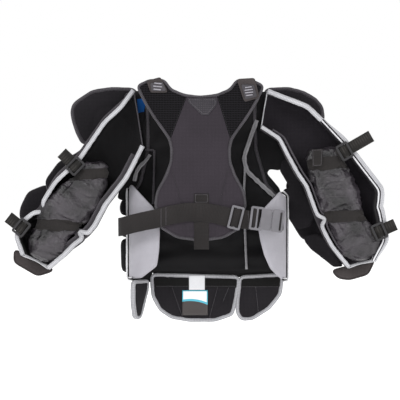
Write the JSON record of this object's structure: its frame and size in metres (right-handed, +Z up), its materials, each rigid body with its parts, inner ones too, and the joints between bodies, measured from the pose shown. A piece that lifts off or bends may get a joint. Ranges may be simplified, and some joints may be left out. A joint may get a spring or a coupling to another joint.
{
  "type": "hockey chest and arm protector",
  "caption": "Padded hockey upper-body protector: chest and back panels joined by a buckled belt, hinged shoulder caps, channel-shaped arms with nylon wraps, belly flaps and side wings.",
  "frame": {"origin": "middle of the neck opening, at the height of the shoulders", "axes": "+Z up, +X towards the wearer's right, +Y the way the wearer faces; the back panel and belt are on the -Y side"},
  "size_m": [0.807, 0.1586, 0.4994],
  "materials": {
    "liner_fabric": "black brushed polyester lining",
    "hard_plate": "moulded polyethylene plate under black fabric",
    "block_fabric": "black woven nylon over foam",
    "back_fabric": "charcoal knit over foam, black mesh at the shoulders",
    "elastic_webbing": "dark grey woven elastic",
    "strap_webbing": "black woven elastic",
    "buckle_plastic": "moulded acetal, satin",
    "slide_plastic": "moulded acetal, satin",
    "tab_fabric": "dark grey loop fabric",
    "badge_rubber": "moulded rubber",
    "wing_fabric": "light grey smooth polyester over foam",
    "flap_fabric": "black knit over foam with a light grey binding",
    "label_cloth": "white printed satin",
    "tag_card": "coated card",
    "cap_fabric": "black woven nylon over a foam and plastic cap",
    "arm_fabric": "black lining with a light grey binding",
    "wrap_nylon": "dark grey nylon taffeta, gathered",
    "wrist_fabric": "brown-grey woven fabric over foam"
  },
  "bodies": {
    "chest": {"chest_liner": "liner_fabric", "sternum_plate": "hard_plate", "belly_pad": "block_fabric", "chest_pad_left": "block_fabric", "chest_pad_right": "block_fabric", "shoulder_bridge_left": "liner_fabric", "shoulder_bridge_right": "liner_fabric", "rib_pad_left_upper": "block_fabric", "rib_pad_left_middle": "block_fabric", "rib_pad_left_lower": "block_fabric", "rib_pad_right_upper": "block_fabric", "rib_pad_right_middle": "block_fabric", "rib_pad_right_lower": "block_fabric", "belt_anchor_left": "elastic_webbing", "belt_anchor_right": "elastic_webbing"},
    "back": {"back_panel": "back_fabric", "belt_keeper": "elastic_webbing", "belt_back": "elastic_webbing", "buckle_frame": "buckle_plastic"},
    "belt_slide": {"belt_slide": "buckle_plastic"},
    "buckle_socket": {"buckle_socket": "buckle_plastic"},
    "flap_center": {"belly_flap_center": "flap_fabric"},
    "flap_right": {"belly_flap_right": "flap_fabric"},
    "flap_left": {"belly_flap_left": "flap_fabric"},
    "care_label": {"care_label": "label_cloth"},
    "hang_tag": {"hang_tag": "tag_card"},
    "tab_left": {"shoulder_tab_left": "tab_fabric", "tab_badge_left": "badge_rubber"},
    "wing_left": {"side_wing_left": "wing_fabric"},
    "hanger_left": {"arm_hanger_left": "liner_fabric"},
    "cap_left": {"shoulder_cap_left": "cap_fabric"},
    "upper_arm_left": {"upper_arm_shell_left": "arm_fabric", "bicep_wrap_left": "wrap_nylon", "bicep_guard_left": "block_fabric", "arm_strap_upper_left": "strap_webbing"},
    "forearm_left": {"forearm_shell_left": "arm_fabric", "forearm_wrap_left": "wrap_nylon", "forearm_guard_left": "block_fabric", "arm_strap_lower_left": "strap_webbing"},
    "elbow_cap_left": {"elbow_cap_left": "cap_fabric"},
    "wrist_left": {"wrist_pad_left": "wrist_fabric"},
    "slide_upper_left": {"arm_slide_upper_left": "slide_plastic"},
    "slide_lower_left": {"arm_slide_lower_left": "slide_plastic"},
    "tab_right": {"shoulder_tab_right": "tab_fabric", "tab_badge_right": "badge_rubber"},
    "wing_right": {"side_wing_right": "wing_fabric"},
    "hanger_right": {"arm_hanger_right": "liner_fabric"},
    "cap_right": {"shoulder_cap_right": "cap_fabric"},
    "upper_arm_right": {"upper_arm_shell_right": "arm_fabric", "bicep_wrap_right": "wrap_nylon", "bicep_guard_right": "block_fabric", "arm_strap_upper_right": "strap_webbing"},
    "forearm_right": {"forearm_shell_right": "arm_fabric", "forearm_wrap_right": "wrap_nylon", "forearm_guard_right": "block_fabric", "arm_strap_lower_right": "strap_webbing"},
    "elbow_cap_right": {"elbow_cap_right": "cap_fabric"},
    "wrist_right": {"wrist_pad_right": "wrist_fabric"},
    "slide_upper_right": {"arm_slide_upper_right": "slide_plastic"},
    "slide_lower_right": {"arm_slide_lower_right": "slide_plastic"}
  },
  "joints": [
    {"name": "back_swing", "type": "hinge", "parent": "chest", "child": "back", "pos_m": [0, -0.0435, 0.01], "axis": [-1, 0, 0], "range_deg": [0, 14]},
    {"name": "belt_slide_travel", "type": "slide", "parent": "back", "child": "belt_slide", "axis": [0.9703, 0, -0.2419], "range_m": [-0.012, 0.008]},
    {"name": "buckle_release", "type": "slide", "parent": "back", "child": "buckle_socket", "axis": [0.9925, 0, -0.1219], "range_m": [0, 0.026]},
    {"name": "flap_center_swing", "type": "hinge", "parent": "chest", "child": "flap_center", "pos_m": [0, 0.049, -0.3835], "axis": [1, 0, 0], "range_deg": [-12, 40]},
    {"name": "flap_right_swing", "type": "hinge", "parent": "chest", "child": "flap_right", "pos_m": [0.125, 0.049, -0.3835], "axis": [1, 0, 0], "range_deg": [-12, 40]},
    {"name": "flap_left_swing", "type": "hinge", "parent": "chest", "child": "flap_left", "pos_m": [-0.125, 0.019, -0.3975], "axis": [-0.4603, -0.8878, 0], "range_deg": [-14, 10]},
    {"name": "care_label_swing", "type": "hinge", "parent": "flap_center", "child": "care_label", "pos_m": [-0.0075, 0.0432, -0.387], "axis": [-1, 0, 0], "range_deg": [0, 60]},
    {"name": "hang_tag_swing", "type": "hinge", "parent": "care_label", "child": "hang_tag", "pos_m": [-0.0115, 0.0432, -0.4175], "axis": [-1, 0, 0], "range_deg": [0, 50]},
    {"name": "tab_peel_left", "type": "hinge", "parent": "back", "child": "tab_left", "pos_m": [-0.08925, -0.0585, 0.02], "axis": [-1, 0, 0], "range_deg": [0, 60]},
    {"name": "wing_fold_left", "type": "hinge", "parent": "chest", "child": "wing_left", "pos_m": [-0.153, 0.038, -0.3], "axis": [0, 0, 1], "range_deg": [0, 16]},
    {"name": "arm_swing_left", "type": "hinge", "parent": "chest", "child": "hanger_left", "pos_m": [-0.138, 0.05305, -0.006], "axis": [1, 0, 0], "range_deg": [0, 40]},
    {"name": "cap_lift_left", "type": "hinge", "parent": "hanger_left", "child": "cap_left", "pos_m": [-0.135, 0.066, -0.006], "axis": [0, 1, 0], "range_deg": [-4, 18]},
    {"name": "arm_raise_left", "type": "hinge", "parent": "hanger_left", "child": "upper_arm_left", "pos_m": [-0.13, 0.044, -0.024], "axis": [0, 1, 0], "range_deg": [0, 45]},
    {"name": "elbow_bend_left", "type": "hinge", "parent": "upper_arm_left", "child": "forearm_left", "pos_m": [-0.283, 0.01, -0.2745], "axis": [-0.8626, 0, 0.5059], "range_deg": [0, 70]},
    {"name": "elbow_cap_turn_left", "type": "hinge", "parent": "upper_arm_left", "child": "elbow_cap_left", "pos_m": [-0.283, 0.01, -0.2745], "axis": [-0.8626, 0, 0.5059], "range_deg": [0, 35]},
    {"name": "wrist_flex_left", "type": "hinge", "parent": "forearm_left", "child": "wrist_left", "pos_m": [-0.34619, 0.044, -0.35333], "axis": [-0.8878, 0, 0.4603], "range_deg": [-25, 25]},
    {"name": "arm_slide_travel_upper_left", "type": "slide", "parent": "upper_arm_left", "child": "slide_upper_left", "axis": [-0.7193, 0, 0.6947], "range_m": [-0.006, 0.01]},
    {"name": "arm_slide_travel_lower_left", "type": "slide", "parent": "forearm_left", "child": "slide_lower_left", "axis": [-0.788, 0, 0.6157], "range_m": [-0.006, 0.01]},
    {"name": "tab_peel_right", "type": "hinge", "parent": "back", "child": "tab_right", "pos_m": [0.098, -0.0585, 0.018], "axis": [-1, 0, 0], "range_deg": [0, 60]},
    {"name": "wing_fold_right", "type": "hinge", "parent": "chest", "child": "wing_right", "pos_m": [0.182, 0.038, -0.3], "axis": [0, 0, -1], "range_deg": [0, 16]},
    {"name": "arm_swing_right", "type": "hinge", "parent": "chest", "child": "hanger_right", "pos_m": [0.138, 0.05305, -0.006], "axis": [1, 0, 0], "range_deg": [0, 40]},
    {"name": "cap_lift_right", "type": "hinge", "parent": "hanger_right", "child": "cap_right", "pos_m": [0.135, 0.066, -0.006], "axis": [0, -1, 0], "range_deg": [-4, 18]},
    {"name": "arm_raise_right", "type": "hinge", "parent": "hanger_right", "child": "upper_arm_right", "pos_m": [0.13, 0.044, -0.024], "axis": [0, -1, 0], "range_deg": [0, 45]},
    {"name": "elbow_bend_right", "type": "hinge", "parent": "upper_arm_right", "child": "forearm_right", "pos_m": [0.3035, 0.01, -0.2575], "axis": [-0.9723, 0, -0.2337], "range_deg": [0, 70]},
    {"name": "elbow_cap_turn_right", "type": "hinge", "parent": "upper_arm_right", "child": "elbow_cap_right", "pos_m": [0.3035, 0.01, -0.2575], "axis": [-0.9723, 0, -0.2337], "range_deg": [0, 35]},
    {"name": "wrist_flex_right", "type": "hinge", "parent": "forearm_right", "child": "wrist_right", "pos_m": [0.31836, 0.044, -0.36445], "axis": [-0.9701, 0, -0.2425], "range_deg": [-25, 25]},
    {"name": "arm_slide_travel_upper_right", "type": "slide", "parent": "upper_arm_right", "child": "slide_upper_right", "axis": [0.866, 0, 0.5], "range_m": [-0.006, 0.01]},
    {"name": "arm_slide_travel_lower_right", "type": "slide", "parent": "forearm_right", "child": "slide_lower_right", "axis": [0.9135, 0, 0.4067], "range_m": [-0.006, 0.01]}
  ],
  "couplings": [
    {"joint": "elbow_cap_turn_left", "follows": "elbow_bend_left", "ratio": 0.5},
    {"joint": "elbow_cap_turn_right", "follows": "elbow_bend_right", "ratio": 0.5}
  ]
}
